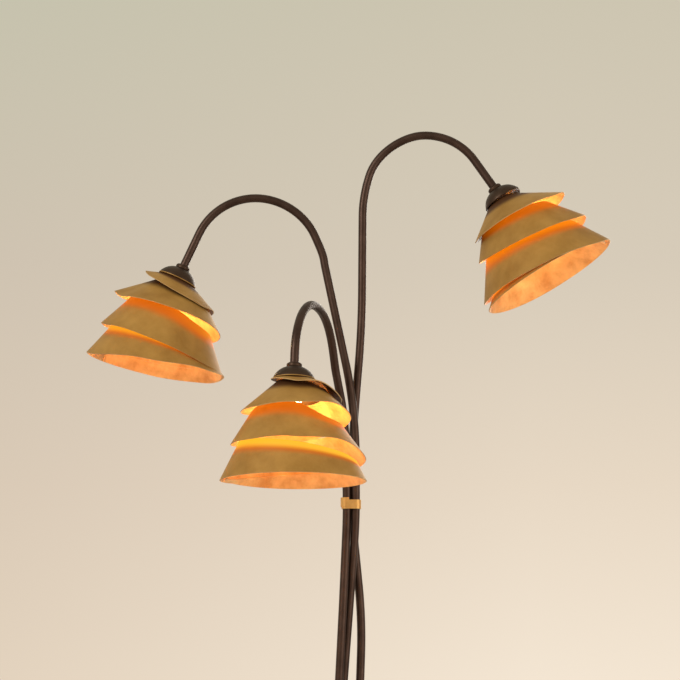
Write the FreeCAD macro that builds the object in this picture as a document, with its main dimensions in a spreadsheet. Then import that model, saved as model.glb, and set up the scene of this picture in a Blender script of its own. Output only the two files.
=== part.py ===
import FreeCAD, Part
import math
import os

import Sketcher

# Tree floor lamp: three bent steel tubes rise from a round iron foot, are bound by a gilt band,
# cross, and hook over to three domed caps, each with a shade wound from one spiral strip.
# Millimetres, +Z up, origin at the centre of the foot's underside. The viewer stands at -Y.

V = FreeCAD.Vector
UP = V(0, 0, 1)
doc = FreeCAD.newDocument("tree_floor_lamp")

# ---------------------------------------------------------------- driving dimensions

GENERAL = {
    # foot
    "pad_thickness": 2.0,
    "pad_gap": 6.0,
    "pad_inset": 3.0,
    "foot_diameter": 280.0,
    "foot_height": 26.0,
    "foot_edge_radius": 6.0,
    "well_diameter": 190.0,
    "well_depth": 15.0,
    "ledge_width": 14.0,
    "plate_thickness": 1.5,
    "plate_play": 0.3,
    "plate_screw_count": 3,
    "plate_screw_diameter": 4.0,
    "plate_screw_length": 9.0,
    "plate_screw_head": 7.5,
    "plate_screw_head_height": 1.6,
    "screw_play": 0.05,
    # supply inlet at the back of the foot
    "inlet_bore": 6.4,
    "inlet_tube": 10.0,
    "inlet_flange": 15.0,
    "inlet_flange_thickness": 3.0,
    # connector block under the tubes
    "block_diameter": 62.0,
    "block_height": 6.0,
    # tubes
    "tube_diameter": 12.0,
    "tube_bore": 10.0,
    "tube_play": 0.04,
    "bundle_gap": 0.3,
    "seat_radius": 20.0,
    "foot_straight": 62.0,
    "foot_bend_radius": 1500.0,
    "tube_below_floor": 7.0,
    "foot_nut_flats": 19.0,
    "foot_nut_height": 6.0,
    "foot_ring_diameter": 20.0,
    "foot_ring_height": 5.0,
    "flex_width": 5.0,
    "flex_thickness": 3.0,
    # gilt band
    "band_height": 1261.0,
    "band_width": 13.0,
    "band_sheet": 1.2,
    "band_play": 0.5,
    "band_lap_step": 3.0,
    "band_lap_end": 3.5,
    # head hardware
    "collar_diameter": 21.0,
    "collar_height": 6.0,
    "collar_seat": 3.0,
    "collar_bevel": 1.8,
    "dome_diameter": 57.0,
    "dome_height": 16.0,
    "dome_flat": 22.0,
    "dome_bulge_radius": 26.0,
    "dome_wall": 1.0,
    "nipple_diameter": 10.0,
    "nipple_bore": 7.0,
    "nipple_rise": 8.0,
    "thread_play": 0.04,
    "spacer_diameter": 16.0,
    "locknut_flats": 14.0,
    "locknut_height": 4.0,
    # lampholder and plug-in bulb
    "holder_diameter": 24.0,
    "holder_length": 26.0,
    "socket_depth": 6.8,
    "pinch_width": 14.0,
    "pinch_thickness": 5.0,
    "pinch_length": 12.0,
    "pinch_in_holder": 9.0,
    "pinch_play": 0.3,
    "pin_diameter": 1.4,
    "pin_length": 7.2,
    "pin_spacing": 9.0,
    "pin_play": 0.3,
    "bulb_diameter": 13.5,
    "bulb_length": 34.0,
    # spiral shades
    "shade_rim_diameter": 200.0,
    "shade_depth": 136.0,
    "shade_sheet": 1.2,
    "hub_diameter": 58.0,
    "hub_overlap": 5.0,
    "strip_start": -0.4,
    "strip_step_degrees": 10.0,
}

# Lower edge of the shade's strip at each quarter turn, from half turn -1 to half turn 8: radius as
# a share of the rim's, and depth under the cap as a share of the shade's.
STRIP_EDGE = [
    (0.22, 0.005), (0.25, 0.005), (0.30, 0.007), (0.46, 0.059), (0.645, 0.224),
    (0.71, 0.272), (0.75, 0.324), (0.765, 0.324), (0.79, 0.419), (0.835, 0.551),
    (0.865, 0.651), (0.915, 0.688), (0.975, 0.846), (0.995, 0.941), (1.0, 1.0),
    (1.0, 1.0), (1.0, 1.0), (0.98, 1.0), (0.92, 1.0),
]
# Upper edge at each quarter turn from half turn 2 to 8: how far it is tucked in and down from the
# edge a full turn above, as shares of the same two sizes.
STRIP_TUCK = [
    (0.07, 0.029), (0.15, -0.018), (0.095, 0.007), (0.165, -0.004), (0.20, -0.015),
    (0.165, -0.033), (0.125, 0.022), (0.145, 0.007), (0.145, -0.004), (0.105, 0.048),
    (0.10, 0.022), (0.11, -0.022), (0.12, -0.044),
]

# Each arm is a tube bent in one hook, then led down to the foot over a few gentle bends.
# Hook: plane, apex over the band, bend radii and directions. Stem: height over the band, offsets
# as fractions of the bundle's pitch (across, towards the back) and the bend radius there.
ARMS = {
    "left": {
        "root_across": 0.0, "root_back": -0.37, "azimuth": 180.0,
        "apex_rise": 448.7, "apex_reach": 140.0, "rise_radius": 95.0, "fall_radius": 90.0,
        "rise_lean": 24.0, "shoulder_drop": 79.2, "shoulder_radius": 240.0,
        "cap_tilt": 24.5, "cap_drop": 121.0, "shade_lean": 11.5, "shade_turn": -25.0,
        "seat_azimuth": 120.0,
        "stem": [
            (135.6, 0.50, -0.37, 700.0), (-25.0, 0.50, -0.29, 900.0), (-361.0, -1.63, 0.41, 1500.0),
        ],
    },
    "right": {
        "root_across": 0.0, "root_back": 0.62, "azimuth": -6.0,
        "apex_rise": 543.6, "apex_reach": 107.0, "rise_radius": 84.0, "fall_radius": 90.0,
        "rise_lean": 16.0, "shoulder_drop": 93.2, "shoulder_radius": 200.0,
        "cap_tilt": 34.0, "cap_drop": 98.5, "shade_lean": 3.5, "shade_turn": 0.0,
        "seat_azimuth": 0.0,
        "stem": [
            (259.0, 1.24, 0.66, 1500.0), (76.0, 0.0, 0.67, 1400.0), (-11.0, 0.0, 0.70, 600.0),
            (-163.0, 1.22, 0.98, 700.0), (-481.0, 0.33, 0.57, 1500.0),
        ],
    },
    "front": {
        "root_across": -1.25, "root_back": -0.33, "azimuth": -107.1,
        "apex_rise": 267.0, "apex_reach": 122.0, "rise_radius": 95.0, "fall_radius": 90.0,
        "rise_lean": 24.0, "shoulder_drop": 76.0, "shoulder_radius": 160.0,
        "cap_tilt": 5.0, "cap_drop": 116.0, "shade_lean": 4.0, "shade_turn": -72.9,
        "seat_azimuth": -120.0,
        "stem": [
            (124.0, -0.80, -0.45, 160.0), (-9.0, -0.50, -0.29, 600.0), (-139.0, -0.98, -1.10, 900.0),
            (-371.0, -1.95, -1.30, 1500.0),
        ],
    },
}
HOOK_SIZES = [
    "root_across", "root_back", "azimuth", "apex_rise", "apex_reach", "rise_radius", "fall_radius",
    "rise_lean", "shoulder_drop", "shoulder_radius", "cap_tilt", "cap_drop", "shade_lean",
    "shade_turn", "seat_azimuth",
]
STEM_SIZES = ["rise", "across", "back", "bend"]


def fill_sheet():
    """Writes every driving dimension to the sheet as a plain number with an alias."""
    cells = dict(GENERAL)
    for side, arm in ARMS.items():
        for size in HOOK_SIZES:
            cells[f"{side}_{size}"] = arm[size]
        for number, bend in enumerate(arm["stem"], start=1):
            for size, value in zip(STEM_SIZES, bend):
                cells[f"{side}_stem{number}_{size}"] = value
    for number, (radius, depth) in enumerate(STRIP_EDGE, start=1):
        cells[f"strip_radius_{number}"] = radius
        cells[f"strip_depth_{number}"] = depth
    for number, (inward, down) in enumerate(STRIP_TUCK, start=1):
        cells[f"strip_tuck_in_{number}"] = inward
        cells[f"strip_tuck_down_{number}"] = down
    for row, (alias, value) in enumerate(cells.items(), start=1):
        sheet.set(f"A{row}", alias)
        sheet.set(f"B{row}", str(value))
        sheet.setAlias(f"B{row}", alias)


sheet = doc.addObject("Spreadsheet::Sheet", "dims")
fill_sheet()
doc.recompute()


def dim(alias):
    """A driving dimension, read from the sheet."""
    return float(sheet.get(alias))


# ---------------------------------------------------------------- building helpers

parts = {}


def keep(thing, label):
    """Names a finished sub-part, which is exported under its label."""
    thing.Label = label
    parts[label] = thing
    return thing


def origin_plane(body, role):
    return next(o for o in body.Origin.OriginFeatures if o.Role == role)


def draw(body, name, outline, plane="XZ_Plane"):
    """A closed sketch of lines and arcs on a plane of the body. Each corner is two expressions of
    the sheet; a corner with a third and fourth item starts an arc of that radius, bulging to its
    left for 1 and to its right for -1. The radius and every corner are bound to the sheet."""
    sketch = body.newObject("Sketcher::SketchObject", name)
    sketch.AttachmentSupport = [(origin_plane(body, plane), "")]
    sketch.MapMode = "FlatFace"
    corners = [V(float(sketch.evalExpression(c[0])), float(sketch.evalExpression(c[1])), 0)
               for c in outline]
    for index, corner in enumerate(outline):
        start, end = corners[index], corners[(index + 1) % len(corners)]
        if len(corner) == 2:
            sketch.addGeometry(Part.LineSegment(start, end))
            continue
        radius = float(sketch.evalExpression(corner[2]))
        chord = end - start
        side = V(-chord.y, chord.x, 0).normalize() * corner[3]
        sagitta = radius - math.sqrt(radius ** 2 - (chord.Length / 2) ** 2)
        middle = (start + end) / 2 + side * sagitta
        first, last = (end, start) if corner[3] > 0 else (start, end)
        sketch.addGeometry(Part.Arc(first, middle, last))
    count = len(outline)
    ends = [(2, 1) if len(corner) == 4 and corner[3] > 0 else (1, 2) for corner in outline]
    for index in range(count):
        after = (index + 1) % count
        sketch.addConstraint(Sketcher.Constraint("Coincident", index, ends[index][1],
                                                 after, ends[after][0]))
    for index, corner in enumerate(outline):
        point = ends[index][0]
        for axis, kind, own in ((0, "DistanceX", -2), (1, "DistanceY", -1)):
            if corner[axis] == "0":
                sketch.addConstraint(Sketcher.Constraint("PointOnObject", index, point, own))
                continue
            value = corners[index][axis]
            number = sketch.addConstraint(
                Sketcher.Constraint(kind, -1, 1, index, point, value))
            sketch.setExpression(f"Constraints[{number}]", corner[axis])
        if len(corner) == 4:
            radius = float(sketch.evalExpression(corner[2]))
            number = sketch.addConstraint(Sketcher.Constraint("Radius", index, radius))
            sketch.setExpression(f"Constraints[{number}]", corner[2])
    return sketch


def turned(name, outline):
    """A body turned about its Z axis from an outline in radius and height."""
    body = doc.addObject("PartDesign::Body", name)
    sketch = draw(body, name + "_outline", outline)
    turn = body.newObject("PartDesign::Revolution", name + "_turn")
    turn.Profile = sketch
    turn.ReferenceAxis = (sketch, ["V_Axis"])
    turn.Angle = 360
    return body


def ring_outline(outer, inner, low, high):
    """The outline of a plain ring or sleeve."""
    return [(inner, low), (outer, low), (outer, high), (inner, high)]


def cylinder(name, radius, height, low="0", across="0", back="0"):
    """A Part cylinder standing on its own low point, sizes and place bound to the sheet."""
    rod = doc.addObject("Part::Cylinder", name)
    rod.setExpression("Radius", radius)
    rod.setExpression("Height", height)
    for axis, value in zip("xyz", (across, back, low)):
        rod.setExpression(f"Placement.Base.{axis}", value)
    return rod


def hexagon(name, flats, height, low):
    """A Part prism of six sides, measured across its flats."""
    prism = doc.addObject("Part::Prism", name)
    prism.Polygon = 6
    prism.setExpression("Circumradius", f"{flats} / 2 / cos(30 deg)")
    prism.setExpression("Height", height)
    prism.setExpression("Placement.Base.z", low)
    return prism


def cut(name, base, *tools):
    """Base less the tools, as Part booleans."""
    result = base
    for number, tool in enumerate(tools, start=1):
        step = doc.addObject("Part::Cut", f"{name}_cut{number}")
        step.Base, step.Tool = result, tool
        result = step
    return result


def copies(label, master, places):
    """One node of several separate solids: the master's shape set at each place."""
    doc.recompute()
    shape = master.Shape.copy()
    shape.Placement = FreeCAD.Placement()
    group = doc.addObject("Part::Feature", label)
    group.Shape = Part.makeCompound([shape.transformed(p.toMatrix(), True) for p in places])
    return keep(group, label)


def put(thing, label, place):
    """Places a finished sub-part that was modelled about its own origin."""
    doc.recompute()
    thing.Placement = place
    return keep(thing, label)


# ---------------------------------------------------------------- arms: bent tubes

def pitch():
    """Distance between two tubes that lie side by side in the bundle."""
    return dim("tube_diameter") + dim("bundle_gap")


def outward(side):
    turn = math.radians(dim(f"{side}_azimuth"))
    return V(math.cos(turn), math.sin(turn), 0)


def cap_down(side):
    tilt = math.radians(dim(f"{side}_cap_tilt"))
    return outward(side) * math.sin(tilt) - UP * math.cos(tilt)


def foot_top():
    return dim("pad_thickness") + dim("foot_height")


def floor_of_plate():
    """Underside of the iron floor that the tubes pass through."""
    return dim("pad_thickness") + dim("well_depth")


def tube_low():
    return floor_of_plate() - dim("tube_below_floor")


def seat(side):
    turn = math.radians(dim(f"{side}_seat_azimuth"))
    return V(math.cos(turn), math.sin(turn), 0) * dim("seat_radius")


def cap_centre(side):
    """Centre of the cap's open rim: it lies on the hook's falling line, below the apex."""
    return hook_corners(side)[0] + cap_down(side) * stack_height()


def stack_height():
    """From the end of the tube to the cap's rim, through collar and cap."""
    return dim("dome_height") + dim("collar_height") - dim("collar_seat")


def hook_corners(side):
    """Corners of the hook's centre line: the end, both sides of the apex, and the shoulder."""
    root = V(dim(f"{side}_root_across"), dim(f"{side}_root_back"), 0) * pitch()
    apex = (root + outward(side) * dim(f"{side}_apex_reach")
            + UP * (dim("band_height") + dim(f"{side}_apex_rise")))
    rise_turn = math.radians(90 - dim(f"{side}_rise_lean"))
    fall_turn = math.radians(90 - dim(f"{side}_cap_tilt"))
    inner = apex - outward(side) * dim(f"{side}_rise_radius") * math.tan(rise_turn / 2)
    outer = apex + outward(side) * dim(f"{side}_fall_radius") * math.tan(fall_turn / 2)
    drop = dim(f"{side}_shoulder_drop")
    lean = math.radians(dim(f"{side}_rise_lean"))
    shoulder = inner - outward(side) * drop * math.tan(lean) - UP * drop
    down = cap_down(side)
    end = outer + down * (dim(f"{side}_cap_drop") / -down.z - stack_height())
    return [end, outer, inner, shoulder]


def stem_corners(side):
    """Corners of the centre line from the hook down to the foot, with the bend radius of each."""
    corners, radii = [], []
    for number in range(1, len(ARMS[side]["stem"]) + 1):
        rise, across, back, bend = (dim(f"{side}_stem{number}_{size}") for size in STEM_SIZES)
        corners.append(V(across * pitch(), back * pitch(), dim("band_height") + rise))
        radii.append(bend)
    corners.append(seat(side) + UP * (foot_top() + dim("foot_straight")))
    radii.append(dim("foot_bend_radius"))
    corners.append(seat(side) + UP * tube_low())
    return corners, radii


def bent_line(corners, radii):
    """Straight runs through the corners, joined by tangent arcs of the given radii."""
    edges = []
    here = corners[0]
    for before, corner, after, radius in zip(corners, corners[1:], corners[2:], radii):
        back = (before - corner).normalize()
        ahead = (after - corner).normalize()
        turn = math.pi - back.getAngle(ahead)
        reach = radius * math.tan(turn / 2)
        start, end = corner + back * reach, corner + ahead * reach
        inside = (back + ahead).normalize()
        middle = corner + inside * (radius / math.cos(turn / 2) - radius)
        if (start - here).Length > 0.001:
            edges.append(Part.LineSegment(here, start).toShape())
        else:
            start = here
        edges.append(Part.Arc(start, middle, end).toShape())
        here = end
    edges.append(Part.LineSegment(here, corners[-1]).toShape())
    return Part.Wire(edges)


def centre_line(side, above=0.0, low=None):
    """The arm's centre line from its cap to its foot. It can start further down the head, by
    above, and end at another height, for what runs inside the tube."""
    hook = hook_corners(side)
    stem, stem_radii = stem_corners(side)
    corners = hook + stem
    corners[0] = corners[0] + cap_down(side) * above
    if low is not None:
        corners[-1] = V(corners[-1].x, corners[-1].y, low)
    radii = [dim(f"{side}_fall_radius"), dim(f"{side}_rise_radius"), dim(f"{side}_shoulder_radius")]
    return bent_line(corners, radii + stem_radii)


def arm(side):
    """One hollow tube, bent from foot to cap."""
    line = centre_line(side)
    end, down = hook_corners(side)[0], cap_down(side)
    rods = []
    for size in ("tube_diameter", "tube_bore"):
        circle = Part.Wire([Part.Circle(end, down, dim(size) / 2).toShape()])
        rods.append(line.makePipeShell([circle], True, False))
    tube = doc.addObject("Part::Feature", f"arm_{side}")
    tube.Shape = rods[0].cut(rods[1])
    return keep(tube, f"arm_{side}")


def flex(side):
    """Flat twin flex inside the tube, from the lampholder's socket to the connector block."""
    above = stack_height() + dim("shade_sheet") + dim("locknut_height") + dim("socket_depth")
    low = dim("pad_thickness") + dim("plate_thickness") + dim("block_height")
    line = centre_line(side, above, low)
    start = hook_corners(side)[0] + cap_down(side) * above
    wide = cap_down(side).cross(outward(side)).normalize() * (dim("flex_width") / 2)
    thin = cap_down(side).cross(wide).normalize() * (dim("flex_thickness") / 2)
    outline = Part.makePolygon([start + wide + thin, start - wide + thin, start - wide - thin,
                                start + wide - thin, start + wide + thin])
    cable = doc.addObject("Part::Feature", f"flex_{side}")
    cable.Shape = line.makePipeShell([outline], True, False)
    return keep(cable, f"flex_{side}")


def head_place(side, tilt):
    """Frame of a head: origin at the cap's rim, X outwards, Z up along an axis tilted outwards."""
    lean = math.radians(tilt)
    along = outward(side) * math.cos(lean) + UP * math.sin(lean)
    axis = UP * math.cos(lean) - outward(side) * math.sin(lean)
    turn = FreeCAD.Rotation(along, axis.cross(along), axis, "ZXY")
    return FreeCAD.Placement(cap_centre(side), turn)


def cap_place(side):
    return head_place(side, dim(f"{side}_cap_tilt"))


def shade_place(side):
    return head_place(side, dim(f"{side}_cap_tilt") - dim(f"{side}_shade_lean"))


# ---------------------------------------------------------------- spiral shades

def along_table(table, place):
    """A smooth curve through a table's values, read at a place counted in its steps."""
    index = min(max(int(math.floor(place)), 0), len(table) - 2)
    share = place - index
    before = table[max(index - 1, 0)]
    start, end = table[index], table[index + 1]
    after = table[min(index + 2, len(table) - 1)]
    rise = end - before
    curve = 2 * before - 5 * start + 4 * end - after
    twist = 3 * (start - end) + after - before
    return start + 0.5 * share * (rise + share * (curve + share * twist))


def strip_tables():
    """Radius and depth of the strip's lower edge at each quarter turn from half turn -1, and the
    same of its upper edge from half turn 2, tucked inside the edge of the turn above."""
    across, deep = dim("shade_rim_diameter") / 2, dim("shade_depth")
    low = [(dim(f"strip_radius_{number}") * across, dim(f"strip_depth_{number}") * deep)
           for number in range(1, len(STRIP_EDGE) + 1)]
    high = []
    for number in range(1, len(STRIP_TUCK) + 1):
        radius, depth = low[number + 1]
        high.append((radius - dim(f"strip_tuck_in_{number}") * across,
                     depth + dim(f"strip_tuck_down_{number}") * deep))
    return low, high


def ease(share):
    """Runs smoothly from 0 to 1 as the share does, and stays there beyond."""
    share = min(max(share, 0.0), 1.0)
    return share * share * (3 - 2 * share)


def strip_section(half_turn, bearing, slope, low, high):
    """Corners of the strip's section as (radius, height): upper edge, lower edge, and the same
    two on the inner face. The hub leans by the slope; the first turn starts along it."""
    hub_edge = dim("hub_diameter") / 2 - dim("hub_overlap")
    on_hub = hub_edge * math.cos(bearing) * slope - dim("shade_sheet") / 2
    place = 2 * (half_turn + 1)
    radius = along_table([r for r, _ in low], place)
    height = (radius * math.cos(bearing) * slope * (1 - ease(half_turn))
              - along_table([d for _, d in low], place))
    if half_turn < 2:
        left_hub = ease(half_turn - 1)
        top_radius = hub_edge + (high[0][0] - hub_edge) * left_hub
        top_height = on_hub + (-high[0][1] - on_hub) * left_hub
    else:
        top_radius = along_table([r for r, _ in high], 2 * (half_turn - 2))
        top_height = -along_table([d for _, d in high], 2 * (half_turn - 2))
    width = math.hypot(radius - top_radius, height - top_height)
    inward = (height - top_height) / width * dim("shade_sheet")
    under = -(radius - top_radius) / width * dim("shade_sheet")
    return [(top_radius, top_height), (radius, height),
            (radius + inward, height + under), (top_radius + inward, top_height + under)]


def spiral_strip(side):
    """The shade's strip: a closed solid of small flat faces between sections of the winding."""
    slope = math.tan(math.radians(dim(f"{side}_shade_lean")))
    low, high = strip_tables()
    first = dim("strip_start")
    last = (len(low) - 1) / 2 - 1
    steps = round((last - first) * 180 / dim("strip_step_degrees"))
    corners = []
    for step in range(steps + 1):
        half_turn = first + (last - first) * step / steps
        bearing = math.radians(dim(f"{side}_shade_turn") + 180 * half_turn)
        for radius, height in strip_section(half_turn, bearing, slope, low, high):
            corners.append(V(radius * math.cos(bearing), radius * math.sin(bearing), height))
    facets = [(0, 1, 2), (0, 2, 3)]
    for step in range(steps):
        base = 4 * step
        for edge in range(4):
            a, b = base + edge, base + (edge + 1) % 4
            facets += [(a, a + 4, b), (b, a + 4, b + 4)]
    end = 4 * steps
    facets += [(end, end + 2, end + 1), (end, end + 3, end + 2)]
    skin = Part.Shape()
    skin.makeShapeFromMesh((corners, facets), 0.001)
    strip = Part.makeSolid(skin)
    if strip.Volume < 0:
        strip.reverse()
    return strip


def spiral_shade(side):
    """Hub disc square to the cap, and the strip that winds down from it."""
    lean = math.radians(dim(f"{side}_shade_lean"))
    axis = V(-math.sin(lean), 0, math.cos(lean))
    sheet_thickness = dim("shade_sheet")
    hub = Part.makeCylinder(dim("hub_diameter") / 2, sheet_thickness, axis * -sheet_thickness, axis)
    shade = doc.addObject("Part::Feature", f"spiral_shade_{side}")
    hole = Part.makeCylinder((dim("nipple_diameter") + dim("thread_play")) / 2,
                             3 * sheet_thickness, axis * -2 * sheet_thickness, axis)
    shade.Shape = hub.fuse(spiral_strip(side)).cut(hole)
    return put(shade, f"spiral_shade_{side}", shade_place(side))


# ---------------------------------------------------------------- head hardware

COLLAR_TOP = "dims.dome_height + dims.collar_height"
THREAD = "(dims.nipple_diameter + dims.thread_play) / 2"
HUB_LOW = "-dims.shade_sheet"
NUT_LOW = "-dims.shade_sheet - dims.locknut_height"
SOCKET_FLOOR = "-dims.shade_sheet - dims.locknut_height - dims.socket_depth"
HOLDER_LOW = "-dims.shade_sheet - dims.locknut_height - dims.holder_length"
SLOT_TOP = HOLDER_LOW + " + dims.pinch_in_holder"


def dome_cap(side):
    """Spun cap: a flat seat for the collar, then a round shoulder down to the open rim."""
    flat, wide, wall = "dims.dome_flat / 2", "dims.dome_diameter / 2", "dims.dome_wall"
    body = turned(f"dome_cap_{side}", [
        (THREAD, "dims.dome_height"),
        (THREAD, f"dims.dome_height - {wall}"),
        (flat, f"dims.dome_height - {wall}", f"dims.dome_bulge_radius - {wall}", 1),
        (f"{wide} - {wall}", "0"),
        (wide, "0", "dims.dome_bulge_radius", -1),
        (flat, "dims.dome_height"),
    ])
    return put(body, f"dome_cap_{side}", cap_place(side))


def collar():
    """Round bevelled collar: the tube sits in its top, on the cap's flat."""
    tube = "(dims.tube_diameter + dims.tube_play) / 2"
    wide, bevel = "dims.collar_diameter / 2", "dims.collar_bevel"
    return turned("collar", [
        (THREAD, "dims.dome_height"),
        (f"{wide} - {bevel} / 3", "dims.dome_height"),
        (wide, f"dims.dome_height + {bevel} / 3"),
        (wide, f"{COLLAR_TOP} - {bevel}"),
        (f"{wide} - {bevel}", COLLAR_TOP),
        (tube, COLLAR_TOP),
        (tube, f"{COLLAR_TOP} - dims.collar_seat"),
        (THREAD, f"{COLLAR_TOP} - dims.collar_seat"),
    ])


def nipple():
    """Threaded pipe that joins the tube's end, collar, cap, hub and lampholder."""
    return turned("nipple", ring_outline(
        "dims.nipple_diameter / 2", "dims.nipple_bore / 2", SOCKET_FLOOR,
        f"{COLLAR_TOP} - dims.collar_seat + dims.nipple_rise"))


def spacer():
    """Sleeve inside the cap that holds the hub square to it."""
    return turned("spacer", ring_outline(
        "dims.spacer_diameter / 2", THREAD, "0", "dims.dome_height - dims.dome_wall"))


def locknut():
    """Hexagonal nut under the hub."""
    body = hexagon("locknut_body", "dims.locknut_flats", "dims.locknut_height", NUT_LOW)
    bore = cylinder("locknut_bore", THREAD, "dims.locknut_height", NUT_LOW)
    return cut("locknut", body, bore)


def lampholder(side):
    """Ceramic lampholder: threaded socket above, a slot for the bulb's flat foot and two
    contact holes below."""
    name = f"lampholder_{side}"
    wide = "dims.holder_diameter / 2"
    body = turned(name + "_body", [
        ("0", HOLDER_LOW),
        (wide, HOLDER_LOW),
        (wide, NUT_LOW),
        (THREAD, NUT_LOW),
        (THREAD, SOCKET_FLOOR),
        ("0", SOCKET_FLOOR),
    ])
    slot = doc.addObject("Part::Box", name + "_slot")
    slot.setExpression("Length", "dims.pinch_width + 2 * dims.pinch_play")
    slot.setExpression("Width", "dims.pinch_thickness + 2 * dims.pinch_play")
    slot.setExpression("Height", "dims.pinch_in_holder")
    slot.setExpression("Placement.Base.x", "-dims.pinch_width / 2 - dims.pinch_play")
    slot.setExpression("Placement.Base.y", "-dims.pinch_thickness / 2 - dims.pinch_play")
    slot.setExpression("Placement.Base.z", HOLDER_LOW)
    holes = [
        cylinder(f"{name}_hole{number}", "dims.pin_diameter / 2 + dims.pin_play",
                 "dims.pin_length", SLOT_TOP, f"{sign} * dims.pin_spacing / 2")
        for number, sign in enumerate((-1, 1), start=1)
    ]
    return put(cut(name, body, slot, *holes), name, cap_place(side))


def bulb(side):
    """Glass capsule with its flat pinched foot, pushed up into the lampholder."""
    name = f"bulb_{side}"
    wide = "dims.bulb_diameter / 2"
    neck = f"{SLOT_TOP} - dims.pinch_length"
    tip = f"{neck} - dims.bulb_length"
    capsule = turned(name + "_capsule", [
        ("0", tip),
        (f"{wide} * 0.35", tip, f"{wide} * 0.75", -1),
        (wide, f"{tip} + {wide} * 0.6"),
        (wide, f"{neck} - {wide} * 0.45"),
        (f"{wide} * 0.6", neck),
        ("0", neck),
    ])
    pinch = doc.addObject("Part::Box", name + "_pinch")
    pinch.setExpression("Length", "dims.pinch_width")
    pinch.setExpression("Width", "dims.pinch_thickness")
    pinch.setExpression("Height", f"dims.pinch_length + {wide} * 0.45")
    pinch.setExpression("Placement.Base.x", "-dims.pinch_width / 2")
    pinch.setExpression("Placement.Base.y", "-dims.pinch_thickness / 2")
    pinch.setExpression("Placement.Base.z", f"{neck} - {wide} * 0.45")
    whole = doc.addObject("Part::Fuse", name + "_whole")
    whole.Base, whole.Tool = capsule, pinch
    return put(whole, name, cap_place(side))


def bulb_pins(side):
    """The bulb's two contact pins."""
    pins = [
        cylinder(f"pins_{side}_{number}", "dims.pin_diameter / 2", "dims.pin_length",
                 SLOT_TOP, f"{sign} * dims.pin_spacing / 2")
        for number, sign in enumerate((-1, 1), start=1)
    ]
    doc.recompute()
    pair = doc.addObject("Part::Feature", f"bulb_pins_{side}")
    pair.Shape = Part.makeCompound([pin.Shape.copy() for pin in pins])
    return put(pair, f"bulb_pins_{side}", cap_place(side))


# ---------------------------------------------------------------- band round the bundle

def bundle_hull(height, offset):
    """Closed loop round the three tubes at a height, at an offset from their skins."""
    tubes = [tube_at(side, height) for side in ("left", "right", "front")]
    middle = (tubes[0] + tubes[1] + tubes[2]) / 3
    tubes.sort(key=lambda p: math.atan2(p.y - middle.y, p.x - middle.x))
    radius = dim("tube_diameter") / 2 + offset
    edges = []
    count = len(tubes)
    normals = []
    for index in range(count):
        run = tubes[(index + 1) % count] - tubes[index]
        normals.append(V(run.y, -run.x, 0).normalize())
    for index in range(count):
        before, after = normals[index - 1], normals[index]
        centre = tubes[index]
        middle_way = (before + after).normalize()
        edges.append(Part.Arc(centre + before * radius, centre + middle_way * radius,
                              centre + after * radius).toShape())
        edges.append(Part.LineSegment(centre + after * radius,
                                      tubes[(index + 1) % count] + after * radius).toShape())
    return Part.Wire(edges)


def tube_at(side, height):
    """Where a tube's centre line passes a height near the band."""
    reach = 8 * pitch()
    cutter = Part.makePlane(2 * reach, 2 * reach, V(-reach, -reach, height))
    return centre_line(side).section(cutter).Vertexes[0].Point


def band_layer(low, offset):
    """One closed layer of the band's strip."""
    outer = Part.Face(bundle_hull(low, offset + dim("band_sheet")))
    inner = Part.Face(bundle_hull(low, offset))
    return outer.cut(inner).extrude(UP * dim("band_width"))


def stem_band():
    """Gilt strip round the tubes; its end laps over the front left, a step higher."""
    low = dim("band_height") - dim("band_width") / 2
    loop = band_layer(low, dim("band_play"))
    lap = band_layer(low, dim("band_play") + dim("band_sheet"))
    lap.translate(UP * dim("band_lap_step"))
    reach = 4 * pitch()
    window = Part.makeBox(reach, reach, reach, V(-reach - dim("band_lap_end"), -reach, low))
    band = doc.addObject("Part::Feature", "stem_band")
    band.Shape = loop.fuse(lap.common(window)).removeSplitter()
    return keep(band, "stem_band")


# ---------------------------------------------------------------- foot

PAD_TOP = "dims.pad_thickness"
WELL_TOP = "dims.pad_thickness + dims.well_depth"
FOOT_TOP = "dims.pad_thickness + dims.foot_height"
LEDGE = "dims.well_diameter / 2 + dims.ledge_width"
PLATE_TOP = "dims.pad_thickness + dims.plate_thickness"
INLET_HEIGHT = "dims.pad_thickness + (dims.plate_thickness + dims.well_depth) / 2"
BACKWARDS = FreeCAD.Rotation(V(1, 0, 0), -90)


def foot_pad():
    """Felt ring that the lamp stands on."""
    outer = "dims.foot_diameter / 2 - dims.pad_inset"
    ring = turned("foot_pad", ring_outline(outer, f"{LEDGE} + dims.pad_gap", "0", PAD_TOP))
    return put(ring, "foot_pad", FreeCAD.Placement())


def tube_bores():
    """Three upright cylinders at the tubes' seats."""
    return [
        cylinder(f"foot_bore_{side}", "(dims.tube_diameter + dims.tube_play) / 2",
                 "dims.foot_height - dims.well_depth", WELL_TOP,
                 f"dims.seat_radius * cos(dims.{side}_seat_azimuth * 1 deg)",
                 f"dims.seat_radius * sin(dims.{side}_seat_azimuth * 1 deg)")
        for side in ARMS
    ]


def screw_turns():
    """Bearings of the plate's screws, in degrees, with none at the back."""
    count = round(dim("plate_screw_count"))
    return [90 + (180 + 360 * number) / count for number in range(count)]


def screw_places():
    radius = (dim("well_diameter") + dim("ledge_width")) / 2
    return [
        FreeCAD.Placement(V(math.cos(math.radians(turn)), math.sin(math.radians(turn)), 0) * radius,
                          FreeCAD.Rotation())
        for turn in screw_turns()
    ]


def screw_bores(name, radius, length, low):
    """Upright cylinders on the circle of the plate's screws."""
    circle = "(dims.well_diameter + dims.ledge_width) / 2"
    return [
        cylinder(f"{name}_{number}", radius, length, low,
                 f"{circle} * cos({turn} deg)", f"{circle} * sin({turn} deg)")
        for number, turn in enumerate(screw_turns(), start=1)
    ]


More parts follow.
